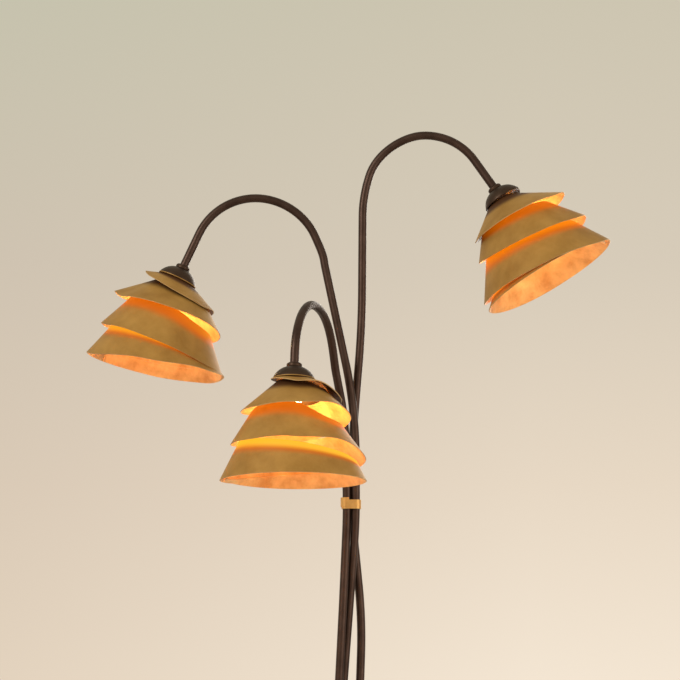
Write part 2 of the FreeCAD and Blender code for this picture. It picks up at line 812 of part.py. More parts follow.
def foot_weight():
    """Cast iron foot: a round plate with a well below, a ledge for the bottom plate, three holes
    for the tubes, tapped holes for the plate's screws and a hole at the back for the supply."""
    wide, edge = "dims.foot_diameter / 2", "dims.foot_edge_radius"
    body = turned("foot_casting", [
        ("0", WELL_TOP),
        ("dims.well_diameter / 2", WELL_TOP),
        ("dims.well_diameter / 2", PLATE_TOP),
        (LEDGE, PLATE_TOP),
        (LEDGE, PAD_TOP),
        (wide, PAD_TOP),
        (wide, f"{FOOT_TOP} - {edge}", edge, -1),
        (f"{wide} - {edge}", FOOT_TOP),
        ("0", FOOT_TOP),
    ])
    inlet = cylinder("inlet_hole", "(dims.inlet_tube + dims.tube_play) / 2",
                     "dims.foot_diameter / 2", INLET_HEIGHT)
    inlet.Placement.Rotation = BACKWARDS
    taps = screw_bores("screw_tap", "dims.plate_screw_diameter / 2 + dims.screw_play",
                       "dims.plate_screw_length", PLATE_TOP)
    return put(cut("foot_weight", body, inlet, *tube_bores(), *taps), "foot_weight",
               FreeCAD.Placement())


def bottom_plate():
    """Sheet that closes the well, drilled for its screws."""
    wide = f"{LEDGE} - dims.plate_play"
    plate = turned("plate_sheet", [("0", PAD_TOP), (wide, PAD_TOP), (wide, PLATE_TOP), ("0", PLATE_TOP)])
    holes = screw_bores("plate_hole", "dims.plate_screw_diameter / 2 + dims.plate_play",
                        "dims.plate_thickness", PAD_TOP)
    return put(cut("bottom_plate", plate, *holes), "bottom_plate", FreeCAD.Placement())


def plate_screw():
    """Cheese-head screw, head down, modelled about the plate's underside."""
    return turned("plate_screw", [
        ("0", f"{PAD_TOP} - dims.plate_screw_head_height"),
        ("dims.plate_screw_head / 2", f"{PAD_TOP} - dims.plate_screw_head_height"),
        ("dims.plate_screw_head / 2", PAD_TOP),
        ("dims.plate_screw_diameter / 2", PAD_TOP),
        ("dims.plate_screw_diameter / 2", f"{PLATE_TOP} + dims.plate_screw_length - 1"),
        ("0", f"{PLATE_TOP} + dims.plate_screw_length - 1"),
    ])


def connector_block():
    """Round connector block on the bottom plate, under the ends of the three tubes."""
    block = turned("connector_block", [
        ("0", PLATE_TOP),
        ("dims.block_diameter / 2", PLATE_TOP),
        ("dims.block_diameter / 2", f"{PLATE_TOP} + dims.block_height - 1"),
        ("dims.block_diameter / 2 - 1", f"{PLATE_TOP} + dims.block_height"),
        ("0", f"{PLATE_TOP} + dims.block_height"),
    ])
    return put(block, "connector_block", FreeCAD.Placement())


def inlet_bush():
    """Flanged bush in the back of the foot for the supply lead."""
    bush = turned("inlet_bush", [
        ("dims.inlet_bore / 2", "-(dims.foot_diameter - dims.well_diameter) / 2"),
        ("dims.inlet_tube / 2", "-(dims.foot_diameter - dims.well_diameter) / 2"),
        ("dims.inlet_tube / 2", "0"),
        ("dims.inlet_flange / 2", "0"),
        ("dims.inlet_flange / 2", "dims.inlet_flange_thickness - 1"),
        ("dims.inlet_flange / 2 - 1", "dims.inlet_flange_thickness"),
        ("dims.inlet_bore / 2", "dims.inlet_flange_thickness"),
    ])
    height = dim("pad_thickness") + (dim("plate_thickness") + dim("well_depth")) / 2
    return put(bush, "inlet_bush",
               FreeCAD.Placement(V(0, dim("foot_diameter") / 2, height), BACKWARDS))


def foot_nut():
    """Flat nut that pulls a tube down from inside the well."""
    low = f"{WELL_TOP} - dims.foot_nut_height"
    body = hexagon("foot_nut_body", "dims.foot_nut_flats", "dims.foot_nut_height", low)
    bore = cylinder("foot_nut_bore", "(dims.tube_diameter + dims.tube_play) / 2",
                    "dims.foot_nut_height", low)
    return cut("foot_nut", body, bore)


def foot_ring():
    """Round shoulder ring on the tube, standing on the foot."""
    bevel = "dims.collar_bevel / 2"
    wide = "dims.foot_ring_diameter / 2"
    high = f"{FOOT_TOP} + dims.foot_ring_height"
    bore = "(dims.tube_diameter + dims.tube_play) / 2"
    return turned("foot_ring", [
        (bore, FOOT_TOP), (wide, FOOT_TOP), (wide, f"{high} - {bevel}"),
        (f"{wide} - {bevel}", high), (bore, high),
    ])


# ---------------------------------------------------------------- assembly

def build():
    foot_pad()
    foot_weight()
    bottom_plate()
    connector_block()
    inlet_bush()
    copies("plate_screws", plate_screw(), screw_places())
    seats = [FreeCAD.Placement(seat(side), FreeCAD.Rotation()) for side in ARMS]
    copies("foot_nuts", foot_nut(), seats)
    copies("foot_rings", foot_ring(), seats)
    stem_band()
    caps = [cap_place(side) for side in ARMS]
    copies("collars", collar(), caps)
    copies("nipples", nipple(), caps)
    copies("spacers", spacer(), caps)
    copies("locknuts", locknut(), caps)
    for side in ARMS:
        arm(side)
        flex(side)
        dome_cap(side)
        spiral_shade(side)
        lampholder(side)
        bulb(side)
        bulb_pins(side)
    doc.recompute()


def check_and_export():
    """Stops on any failed object, then writes one STEP file for each sub-part."""
    failed = [o.Name for o in doc.Objects if {"Invalid", "Error"} & set(o.State)]
    if failed:
        raise RuntimeError(f"objects failed to build: {failed}")
    for label, thing in parts.items():
        if thing.Shape.isNull() or not thing.Shape.isValid() or not thing.Shape.Solids:
            raise RuntimeError(f"{label} has no valid solid")
    os.makedirs("parts", exist_ok=True)
    for label, thing in parts.items():
        thing.Shape.exportStep(f"parts/{label}.step")


build()
check_and_export()
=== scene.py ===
"""Looks of the tree floor lamp: dark bent tubes, gilt band, domed caps and gold-leaf spiral shades.

Metres and degrees, in the frame of the CAD model: +Z up, the viewer at -Y.
"""

import math

import bmesh
import bpy
from mathutils import Matrix, Vector


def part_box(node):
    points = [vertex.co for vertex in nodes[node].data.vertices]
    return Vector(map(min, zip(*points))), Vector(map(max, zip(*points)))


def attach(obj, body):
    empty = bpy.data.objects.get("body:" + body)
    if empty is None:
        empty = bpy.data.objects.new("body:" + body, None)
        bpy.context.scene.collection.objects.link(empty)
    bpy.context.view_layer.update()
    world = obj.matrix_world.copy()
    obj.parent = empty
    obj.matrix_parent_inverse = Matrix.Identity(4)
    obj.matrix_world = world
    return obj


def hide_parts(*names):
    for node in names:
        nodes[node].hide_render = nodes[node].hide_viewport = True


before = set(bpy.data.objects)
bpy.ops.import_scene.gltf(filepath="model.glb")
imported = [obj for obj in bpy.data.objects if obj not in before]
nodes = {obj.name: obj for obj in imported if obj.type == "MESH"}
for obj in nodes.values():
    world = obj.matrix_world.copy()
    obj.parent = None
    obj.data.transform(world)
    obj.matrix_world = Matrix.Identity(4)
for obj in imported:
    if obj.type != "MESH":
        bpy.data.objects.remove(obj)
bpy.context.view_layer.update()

UP = Vector((0, 0, 1))
SIDES = ("left", "right", "front")

# ---------------------------------------------------------------- camera and picture

CAMERA_PLACE = Vector((-0.0165, -3.0, 1.0))
CAMERA_AIM = Vector((-0.0165, 0.0, 1.5))
FOCAL_PIXELS = 2097.0
PICTURE_PIXELS = 680.0
SENSOR = 0.036
FLOOR_RADIUS = 14

# ---------------------------------------------------------------- sizes of the lamp

TUBE_RADIUS = 0.006
PITCH = 0.0123
BAND_HEIGHT = 1.261
SEAT_RADIUS = 0.020
FOOT_STRAIGHT_TOP = 0.090
TUBE_LOW = 0.010
SHORTEST_RUN, SHORTEST_HANDLE = 0.0005, 0.004
FOOT_BEND = 1.5
FOOT_RADIUS = 0.140
FOOT_LOW, FOOT_TOP = 0.002, 0.028
FOOT_EDGE = 0.006
FOOT_WELL_RADIUS, FOOT_WELL_TOP = 0.095, 0.017
FOOT_LEDGE_RADIUS, FOOT_LEDGE_TOP = 0.109, 0.0035
FOOT_BORE, FOOT_CHAMFER = 0.002, 0.001
CAP_HEIGHT = 0.016
CAP_RADIUS = 0.0285
CAP_TOP_RADIUS, CAP_BULGE, CAP_BORE = 0.011, 0.026, 0.0055
CAP_WALL = 0.001
CAP_HOLLOW = (0.0264, 0.0035)
COLLAR_HEIGHT = 0.006
COLLAR_RADIUS, COLLAR_TOP_RADIUS, COLLAR_BORE = 0.0105, 0.0087, 0.0062
COLLAR_BEVEL, COLLAR_FOOT_BEVEL = 0.0018, 0.0006
COLLAR_SEAT = 0.003
SHEET = 0.0012
HUB_RADIUS = 0.029
HUB_SEAT, HUB_BORE = 0.024, 0.004
STRIP_START, STRIP_END = -0.4, 8.0
RIM_RADIUS, SHADE_DEPTH = 0.100, 0.136

# Lower edge of a shade's strip at each quarter turn, from half turn -1 to half turn 8: radius as a
# share of the rim's, depth under the cap as a share of the shade's.
STRIP_EDGE = [
    (0.22, 0.005), (0.25, 0.005), (0.30, 0.007), (0.46, 0.059), (0.645, 0.224),
    (0.71, 0.272), (0.75, 0.324), (0.765, 0.324), (0.79, 0.419), (0.835, 0.551),
    (0.865, 0.651), (0.915, 0.688), (0.975, 0.846), (0.995, 0.941), (1.0, 1.0),
    (1.0, 1.0), (1.0, 1.0), (0.98, 1.0), (0.92, 1.0),
]
# Upper edge at each quarter turn from half turn 2 to 8: tucked in and down from the edge above.
STRIP_TUCK = [
    (0.07, 0.029), (0.15, -0.018), (0.095, 0.007), (0.165, -0.004), (0.20, -0.015),
    (0.165, -0.033), (0.125, 0.022), (0.145, 0.007), (0.145, -0.004), (0.105, 0.048),
    (0.10, 0.022), (0.11, -0.022), (0.12, -0.044),
]

# Each shade is bent by hand. For its strip's lower edge, and then for its upper edge: the half
# turn, and how many millimetres further out and further down than the pattern it stands there.
HAND_BENT = {
    "left": (
        [(-0.4, 0, 0), (0.0, 9, 3), (0.14, 13, 5), (0.4, 8, 9), (0.64, 3, 9.5), (0.9, 0, 8.5),
         (1.14, -5, 0.5), (1.64, 0, 0), (2.0, 7, -5), (2.14, 9, -6.4), (2.35, 4, 5.5), (2.64, 0, 6),
         (2.9, 0, 5), (3.14, 0, 5), (3.64, 0, 0), (4.0, 3.5, -1.5), (4.14, 4, -2), (4.35, 2, 4),
         (4.64, 0, 7.5), (4.9, 0, 9), (5.14, -1.5, 4), (5.64, 0, 0), (6.14, 2, -2), (6.35, 0, 4.5),
         (6.64, 0, 0), (6.9, 0, -8), (7.14, 0, -12), (7.4, 0, -6), (7.7, 0, -2), (8.0, 0, 0)],
        [(2.0, 0, 0), (2.64, 0, 3), (3.14, -9, -9.5), (3.64, -4, -4), (4.14, 4, 4), (4.64, 0, 4),
         (4.9, 0, 9), (5.14, 0, 8), (5.64, 0, 0), (6.14, 0, -5), (6.35, 0, -6), (6.64, 0, -6),
         (6.9, 0, -4), (7.14, 0, -8), (7.4, 0, -12), (8.0, 0, -11)],
    ),
    "right": (
        [(-0.4, 0, 0), (0.0, -1.5, 0), (0.5, 0, 0), (1.0, 3, 5.5), (1.25, 1, 4), (1.5, 0, 3.5),
         (1.75, 2, 2.5), (2.0, 6, -3.5), (2.5, 0, 0), (3.0, -0.5, 7.5), (3.25, 0, 9), (3.5, 0, 8.5),
         (3.75, 0, 6.5), (4.0, 3, -2), (4.5, 0, 0), (5.0, 6, 5.5), (5.25, 3, 2), (5.5, 0, 3),
         (5.75, 0, 6), (6.0, 0, 0), (6.5, 0, 0), (7.0, 2.5, -4), (7.5, 0, -2), (8.0, 0, 0)],
        [(2.0, 0, 0), (3.0, -6, -6), (3.5, 0, 0), (4.0, 0, 0), (5.0, 0, 5), (5.5, 0, 0),
         (6.0, 0, 0), (7.0, 0, 0), (7.5, 0, -4), (8.0, 0, 0)],
    ),
    "front": (
        [(-0.4, 0, 0), (0.5, 0, 1.5), (0.75, 0, -9), (1.0, 0, -3.5), (1.5, 0, 0), (2.0, -4, 1.7),
         (2.25, -2, 1.4), (2.5, 0, -2.5), (2.75, 0, -9.5), (3.0, -1.5, -5), (3.5, 0, 0),
         (4.0, -2.6, 1.7), (4.25, 0, 0), (4.5, 0, -4.5), (4.75, 0, -13), (5.0, 0, -7), (5.5, 0, 0),
         (6.0, -2, 2), (6.5, -1, 1), (7.0, -1.5, 1.5), (7.5, 0, 1.5), (8.0, 0, 0)],
        [(2.0, 0, 0), (2.5, 0, 0), (2.75, -5, -8), (3.0, -11, -14.5), (3.5, -5, -5), (4.0, 4, 8),
         (4.25, 0, 0), (4.5, 0, 0), (4.75, 0, 9), (5.0, 0, 5.5), (5.5, 0, 0), (6.0, 0, -3),
         (6.25, 0, -6), (6.5, 0, -6), (6.75, 0, -5), (7.0, 0, -2), (7.5, 0, -6), (8.0, 0, 4)],
    ),
}

# Each arm: its hook in an upright plane through a root beside the bundle, and the corners of its
# stem as height over the band, offsets across and to the back in pitches, and bend radius.
ARMS = {
    "left": dict(
        root=(0.0, -0.37), azimuth=180.0, apex=1.7097, reach=0.1400, rise_bend=0.095,
        fall_bend=0.090, rise_lean=24.0, shoulder=0.0792, shoulder_bend=0.240, tilt=24.5,
        drop=0.1210, shade_lean=11.5, shade_turn=-25.0, seat=120.0,
        stem=[(0.1356, 0.50, -0.37, 0.7), (-0.025, 0.50, -0.29, 0.9), (-0.361, -1.63, 0.41, 1.5)],
    ),
    "right": dict(
        root=(0.0, 0.62), azimuth=-6.0, apex=1.8046, reach=0.1070, rise_bend=0.084,
        fall_bend=0.090, rise_lean=16.0, shoulder=0.0932, shoulder_bend=0.200, tilt=34.0,
        drop=0.0985, shade_lean=3.5, shade_turn=0.0, seat=0.0,
        stem=[(0.259, 1.24, 0.66, 1.5), (0.076, 0.0, 0.67, 1.4), (-0.011, 0.0, 0.70, 0.6),
              (-0.163, 1.22, 0.98, 0.7), (-0.481, 0.33, 0.57, 1.5)],
    ),
    "front": dict(
        root=(-1.25, -0.33), azimuth=-107.1, apex=1.528, reach=0.122, rise_bend=0.095,
        fall_bend=0.090, rise_lean=24.0, shoulder=0.076, shoulder_bend=0.160, tilt=5.0,
        drop=0.116, shade_lean=4.0, shade_turn=-72.9, seat=-120.0,
        stem=[(0.124, -0.80, -0.45, 0.16), (-0.009, -0.50, -0.29, 0.6), (-0.139, -0.98, -1.10, 0.9),
              (-0.371, -1.95, -1.30, 1.5)],
    ),
}


# ---------------------------------------------------------------- places

def outward(side):
    turn = math.radians(ARMS[side]["azimuth"])
    return Vector((math.cos(turn), math.sin(turn), 0))


def head_axis(side, tilt):
    """Direction up a head that is tilted outwards by an angle."""
    lean = math.radians(tilt)
    return UP * math.cos(lean) - outward(side) * math.sin(lean)


def hook_corners(side):
    """Corners of the hook's centre line: tube end, both sides of the apex, shoulder; with the
    centre of the cap's rim."""
    arm = ARMS[side]
    root = Vector((arm["root"][0], arm["root"][1], 0)) * PITCH
    apex = root + outward(side) * arm["reach"] + UP * arm["apex"]
    rise_turn, fall_turn = (math.radians(90 - arm[key]) for key in ("rise_lean", "tilt"))
    inner = apex - outward(side) * arm["rise_bend"] * math.tan(rise_turn / 2)
    outer = apex + outward(side) * arm["fall_bend"] * math.tan(fall_turn / 2)
    lean = math.radians(arm["rise_lean"])
    shoulder = inner - (outward(side) * math.tan(lean) + UP) * arm["shoulder"]
    down = -head_axis(side, arm["tilt"])
    rim = outer + down * (arm["drop"] / -down.z)
    end = rim - down * (CAP_HEIGHT + COLLAR_HEIGHT - COLLAR_SEAT)
    return [end, outer, inner, shoulder], rim


def head_place(side, tilt):
    """Frame of a head: origin at the cap's rim, X outwards, Z up its axis."""
    axis = head_axis(side, tilt)
    across = axis.cross(outward(side)).normalized()
    along = across.cross(axis)
    place = Matrix((along, across, axis)).transposed().to_4x4()
    place.translation = hook_corners(side)[1]
    return place


def cap_place(side):
    return head_place(side, ARMS[side]["tilt"])


def shade_place(side):
    return head_place(side, ARMS[side]["tilt"] - ARMS[side]["shade_lean"])


def seat(side):
    turn = math.radians(ARMS[side]["seat"])
    return Vector((math.cos(turn), math.sin(turn), 0)) * SEAT_RADIUS


# ---------------------------------------------------------------- making pieces

def start_clean():
    """Leaves edit mode and deselects everything, before a new primitive is added."""
    if bpy.context.object and bpy.context.object.mode != "OBJECT":
        bpy.ops.object.mode_set(mode="OBJECT")
    bpy.ops.object.select_all(action="DESELECT")


def set_place(piece, place):
    """Moves a piece's mesh to its place, with the object left at the origin."""
    piece.data.transform(place)
    piece.matrix_world = Matrix.Identity(4)
    piece.data.update()


def apply_modifiers(piece):
    start_clean()
    piece.select_set(True)
    bpy.context.view_layer.objects.active = piece
    for modifier in list(piece.modifiers):
        bpy.ops.object.modifier_apply(modifier=modifier.name)


def smooth(piece, angle=35.0):
    start_clean()
    piece.select_set(True)
    bpy.context.view_layer.objects.active = piece
    bpy.ops.object.shade_smooth_by_angle(angle=math.radians(angle))


def bevelled(piece, width, segments=3, angle=35.0):
    bevel = piece.modifiers.new("bevel", "BEVEL")
    bevel.width, bevel.segments = width, segments
    bevel.limit_method, bevel.angle_limit = "ANGLE", math.radians(angle)
    apply_modifiers(piece)


def turned(name, profile, sides=72):
    """A turned piece: a circle drawn through a profile of (radius, height), with a cap at each end."""
    start_clean()
    radius, height = profile[0]
    bpy.ops.mesh.primitive_circle_add(vertices=sides, radius=radius, location=(0, 0, height))
    piece = bpy.context.object
    piece.name = piece.data.name = name
    bpy.ops.object.transform_apply(location=True)
    bpy.ops.object.mode_set(mode="EDIT")
    bpy.ops.mesh.edge_face_add()
    bpy.ops.mesh.select_all(action="SELECT")
    for (wide, low), (next_wide, next_low) in zip(profile, profile[1:]):
        bpy.ops.mesh.extrude_region_move(TRANSFORM_OT_translate={"value": (0, 0, next_low - low)})
        scale = next_wide / wide
        bpy.ops.transform.resize(value=(scale, scale, 1))
    bpy.ops.mesh.select_all(action="SELECT")
    bpy.ops.mesh.normals_make_consistent(inside=False)
    bpy.ops.object.mode_set(mode="OBJECT")
    return piece


# ---------------------------------------------------------------- shader groups and materials

def node_at(tree, kind, **values):
    """A shader node with its inputs set by name."""
    made = tree.nodes.new(kind)
    for key, value in values.items():
        made.inputs[key.replace("_", " ")].default_value = value
    return made


def mottle_group():
    """Shared effect: soft patches of colour between two shades, with a fine grain for the bump."""
    group = bpy.data.node_groups.new("mottle", "ShaderNodeTree")
    face = group.interface
    for name, kind in (("Dark", "NodeSocketColor"), ("Light", "NodeSocketColor"),
                       ("Scale", "NodeSocketFloat"), ("Grain", "NodeSocketFloat")):
        face.new_socket(name=name, in_out="INPUT", socket_type=kind)
    for name, kind in (("Color", "NodeSocketColor"), ("Patches", "NodeSocketFloat"),
                       ("Height", "NodeSocketFloat")):
        face.new_socket(name=name, in_out="OUTPUT", socket_type=kind)
    inputs = group.nodes.new("NodeGroupInput")
    outputs = group.nodes.new("NodeGroupOutput")
    where = group.nodes.new("ShaderNodeTexCoord")
    patches = node_at(group, "ShaderNodeTexNoise", Detail=5.0, Roughness=0.6)
    grain = node_at(group, "ShaderNodeTexNoise", Detail=3.0, Roughness=0.55)
    spread = node_at(group, "ShaderNodeMapRange", From_Min=0.32, From_Max=0.68)
    mix = group.nodes.new("ShaderNodeMix")
    mix.data_type = "RGBA"
    link = group.links.new
    link(where.outputs["Object"], patches.inputs["Vector"])
    link(where.outputs["Object"], grain.inputs["Vector"])
    link(inputs.outputs["Scale"], patches.inputs["Scale"])
    link(inputs.outputs["Grain"], grain.inputs["Scale"])
    link(patches.outputs["Fac"], spread.inputs["Value"])
    link(spread.outputs["Result"], mix.inputs["Factor"])
    link(inputs.outputs["Dark"], mix.inputs["A"])
    link(inputs.outputs["Light"], mix.inputs["B"])
    link(mix.outputs["Result"], outputs.inputs["Color"])
    link(spread.outputs["Result"], outputs.inputs["Patches"])
    link(grain.outputs["Fac"], outputs.inputs["Height"])
    return group


MOTTLE = mottle_group()


def material(name, dark, light, scale, grain, roughness, metallic=0.0, bump=0.2, distance=0.0003,
             coat=0.0, sheen=0.0, specular=0.5):
    """A mottled material of two colours, as linear red, green and blue, with a fine grain."""
    made = bpy.data.materials.new(name)
    made.use_nodes = True
    tree = made.node_tree
    shader = tree.nodes["Principled BSDF"]
    shader.inputs["Roughness"].default_value = roughness
    shader.inputs["Metallic"].default_value = metallic
    shader.inputs["Coat Weight"].default_value = coat
    shader.inputs["Coat Roughness"].default_value = 0.2
    shader.inputs["Sheen Weight"].default_value = sheen
    shader.inputs["Specular IOR Level"].default_value = specular
    mottle = tree.nodes.new("ShaderNodeGroup")
    mottle.node_tree = MOTTLE
    mottle.name = "mottle"
    mottle.inputs["Dark"].default_value = (*dark, 1)
    mottle.inputs["Light"].default_value = (*light, 1)
    mottle.inputs["Scale"].default_value = scale
    mottle.inputs["Grain"].default_value = grain
    relief = node_at(tree, "ShaderNodeBump", Strength=bump, Distance=distance)
    tree.links.new(mottle.outputs["Color"], shader.inputs["Base Color"])
    tree.links.new(mottle.outputs["Height"], relief.inputs["Height"])
    tree.links.new(relief.outputs["Normal"], shader.inputs["Normal"])
    return made


def along_and_down(tree):
    """Places on a strip's own map: how far along it winds, and how far down its width."""
    where = tree.nodes.new("ShaderNodeUVMap")
    split = tree.nodes.new("ShaderNodeSeparateXYZ")
    tree.links.new(where.outputs["UV"], split.inputs["Vector"])
    return split.outputs["X"], split.outputs["Y"]


def range_of(tree, value, start, end, low=0.0, high=1.0):
    """A value eased from low to high between a start and an end."""
    made = node_at(tree, "ShaderNodeMapRange", From_Min=start, From_Max=end, To_Min=low, To_Max=high)
    made.interpolation_type = "SMOOTHSTEP"
    tree.links.new(value, made.inputs["Value"])
    return made.outputs["Result"]


def mixed(tree, factor, first, second, blend="MIX"):
    """A colour between two, each a plain colour or a socket."""
    made = tree.nodes.new("ShaderNodeMix")
    made.data_type, made.blend_type = "RGBA", blend
    if isinstance(factor, float):
        made.inputs["Factor"].default_value = factor
    else:
        tree.links.new(factor, made.inputs["Factor"])
    for name, color in (("A", first), ("B", second)):
        if isinstance(color, tuple):
            made.inputs[name].default_value = (*color, 1)
        else:
            tree.links.new(color, made.inputs[name])
    return made.outputs["Result"]


def dress(piece, *materials):
    """Gives a piece its materials, by slot."""
    piece.data.materials.clear()
    for made in materials:
        piece.data.materials.append(made)


BRONZE = material("dark_bronze_paint", (0.052, 0.030, 0.022), (0.080, 0.048, 0.036), 45, 900,
                  roughness=0.40, metallic=0.8, bump=0.12, distance=0.0002, specular=0.3)
CAP_BRONZE = material("cap_bronze_paint", (0.050, 0.028, 0.017), (0.070, 0.041, 0.026), 60, 700,
                      roughness=0.45, metallic=0.75, bump=0.15, distance=0.0002, specular=0.3)
# Lighter than the leaf's faces: a painted highlight along the thin cut edges of the strip.
LEAF_EDGE_HIGHLIGHT = material("cut_edge_of_leaf_highlit", (0.55, 0.34, 0.13), (0.70, 0.46, 0.20), 80, 900,
                     roughness=0.45, metallic=0.3, bump=0.1)
BAND_GOLD = material("gilt_band", (0.60, 0.30, 0.07), (0.78, 0.44, 0.13), 70, 900,
                     roughness=0.4, metallic=0.5, bump=0.1, distance=0.0002)
IRON = material("painted_iron", (0.026, 0.016, 0.012), (0.042, 0.027, 0.020), 18, 520,
                roughness=0.45, metallic=0.15, bump=0.25, distance=0.0004, coat=0.2)
STEEL = material("plain_steel", (0.42, 0.42, 0.41), (0.58, 0.58, 0.56), 60, 900,
                 roughness=0.38, metallic=0.9, bump=0.08, distance=0.0002)
BRASS = material("threaded_brass", (0.46, 0.33, 0.14), (0.60, 0.45, 0.20), 60, 900,
                 roughness=0.35, metallic=0.9, bump=0.08, distance=0.0002)
CERAMIC = material("white_ceramic", (0.70, 0.67, 0.60), (0.80, 0.77, 0.70), 40, 800,
                   roughness=0.4, bump=0.08, distance=0.0002)
RUBBER = material("black_moulding", (0.018, 0.018, 0.018), (0.030, 0.030, 0.030), 40, 900,
                  roughness=0.6, bump=0.15, distance=0.0002)
FELT = material("black_felt", (0.012, 0.012, 0.013), (0.03, 0.03, 0.032), 200, 2600,
                roughness=0.95, bump=0.6, distance=0.0006, sheen=0.4, specular=0.2)
FLEX = material("brown_flex", (0.030, 0.022, 0.018), (0.045, 0.034, 0.028), 60, 900,
                roughness=0.5, bump=0.1, distance=0.0002)


LEAF = (0.345, 0.176, 0.034), (0.47, 0.258, 0.058)
LEAF_IN_SHADOW = (0.09, 0.035, 0.010)
# Painted shade: the leaf's colour darkened inside the closed first turn, where no light falls.
LEAF_SHADED_IN_CLOSED_TURN = (0.10, 0.040, 0.012)
# Dark colour for the start of a strip.
DARK_STRIP_START = (0.035, 0.018, 0.010)
NO_LIGHT = (0.0, 0.0, 0.0)
SPILLED_LIGHT = (0.55, 0.105, 0.0)
LIGHT_CLOSE_BY, LIGHT_FAR_OFF = (1.0, 0.37, 0.05), (0.17, 0.085, 0.035)
DIM_DAPPLES, FULL_DAPPLES = (0.62, 0.55, 0.50), (1.0, 1.0, 1.0)

# Shares of the strip's width, from its upper edge, over which the shadow of the turn above and
# the strongest light end.
COVERED, HOTTEST = (0.22, 0.46), (0.10, 0.32)

# Shares of its length over which light begins to spill out, spills out strongest and begins
# inside; and the distances from the bulb, in metres, over which its light falls off.
LIT_OUTSIDE, LIT_STRONGEST, LIT_INSIDE = (0.39, 0.46), (0.60, 0.72), (0.18, 0.30)
BULB_REACH = (0.03, 0.125)

# Share along the strip over which its dark start gives way to the leaf's colours; below zero
# the strip has no dark start. Then the colour of the light at the upper edge of its last turns.
DARK_START_SHARES = {"left": (-0.2, -0.1), "right": (0.06, 0.10), "front": (-0.2, -0.1)}
HOT_EDGE = {"left": (0.95, 0.36, 0.012), "right": (0.78, 0.20, 0.0), "front": (1.0, 0.50, 0.025)}


def leaf_outside(side):
    """Matt gold leaf on the outside of the strip. Under the turn above it lies in shadow, and from
    the second turn on the light from within spills orange over its upper edge."""
    made = material(f"gold_leaf_outside_{side}", *LEAF, 26, 420,
                    roughness=0.55, metallic=0.25, bump=0.18, distance=0.0004, specular=0.25)
    tree = made.node_tree
    shader = tree.nodes["Principled BSDF"]
    along, down = along_and_down(tree)
    covered = range_of(tree, down, *COVERED, 1.0, 0.0)
    lit = range_of(tree, along, *LIT_OUTSIDE)
    hottest = node_at(tree, "ShaderNodeMath")
    hottest.operation = "MULTIPLY"
    tree.links.new(range_of(tree, down, *HOTTEST, 1.0, 0.0), hottest.inputs[0])
    tree.links.new(range_of(tree, along, *LIT_STRONGEST), hottest.inputs[1])
    orange = mixed(tree, hottest.outputs["Value"], SPILLED_LIGHT, HOT_EDGE[side])
    leaf = mixed(tree, covered, tree.nodes["mottle"].outputs["Color"], LEAF_IN_SHADOW)
    spill = mixed(tree, covered, NO_LIGHT, orange)
    past_dark_start = range_of(tree, along, *DARK_START_SHARES[side])
    # Up to a share along it, the strip is drawn dark instead of in the leaf's colours.
    tree.links.new(mixed(tree, past_dark_start, DARK_STRIP_START, leaf), shader.inputs["Base Color"])
    tree.links.new(mixed(tree, lit, NO_LIGHT, spill), shader.inputs["Emission Color"])
    shader.inputs["Emission Strength"].default_value = 1.0
    return made


HUB_LEAF = material("gold_leaf_hub", *LEAF, 26, 420,
                    roughness=0.55, metallic=0.25, bump=0.18, distance=0.0004)


def leaf_inside(side):
    """Dappled gold leaf inside a shade, lit by its bulb in painted light: yellow close to it,
    orange further off, and painted shade, dark, on the closed first turn."""
    # Its two leaf colours are a brighter, more orange copy of the outside leaf: painted bulb light.
    made = material(f"gold_leaf_inside_{side}", (0.60, 0.23, 0.035), (0.88, 0.48, 0.14), 34, 300,
                    roughness=0.4, metallic=0.35, bump=0.6, distance=0.0016)
    tree = made.node_tree
    shader = tree.nodes["Principled BSDF"]
    low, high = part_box(f"bulb_{side}")
    where = tree.nodes.new("ShaderNodeTexCoord")
    away = tree.nodes.new("ShaderNodeVectorMath")
    away.operation = "DISTANCE"
    away.inputs[1].default_value = (low + high) / 2
    tree.links.new(where.outputs["Object"], away.inputs[0])
    near = range_of(tree, away.outputs["Value"], *BULB_REACH, 1.0, 0.0)
    along, _ = along_and_down(tree)
    lit = range_of(tree, along, *LIT_INSIDE)
    light = mixed(tree, near, LIGHT_FAR_OFF, LIGHT_CLOSE_BY)
    patches = tree.nodes["mottle"].outputs["Patches"]
    dappled = mixed(tree, patches, DIM_DAPPLES, FULL_DAPPLES)
    spotted = mixed(tree, 1.0, light, dappled, "MULTIPLY")
    # Painted shade: before light falls inside, the base colour is the darkened leaf of the closed
    # first turn.
    leaf = mixed(tree, lit, LEAF_SHADED_IN_CLOSED_TURN, tree.nodes["mottle"].outputs["Color"])
    tree.links.new(leaf, shader.inputs["Base Color"])
    tree.links.new(mixed(tree, lit, NO_LIGHT, spotted), shader.inputs["Emission Color"])
    shader.inputs["Emission Strength"].default_value = 1.3
    return made


def bulb_light():
    """Lit capsule: bright warm white."""
    made = bpy.data.materials.new("lit_bulb")
    made.use_nodes = True
    shader = made.node_tree.nodes["Principled BSDF"]
    shader.inputs["Base Color"].default_value = (1.0, 0.9, 0.7, 1)
    shader.inputs["Roughness"].default_value = 0.3
    shader.inputs["Emission Color"].default_value = (1.0, 0.66, 0.28, 1)
    shader.inputs["Emission Strength"].default_value = 75.0
    return made


BULB = bulb_light()

# ---------------------------------------------------------------- tubes

def stem_corners(side):
    corners, bends = [], []
    for rise, across, back, bend in ARMS[side]["stem"]:
        corners.append(Vector((across * PITCH, back * PITCH, BAND_HEIGHT + rise)))
        bends.append(bend)
    corners += [seat(side) + UP * FOOT_STRAIGHT_TOP, seat(side) + UP * TUBE_LOW]
    return corners, bends + [FOOT_BEND]


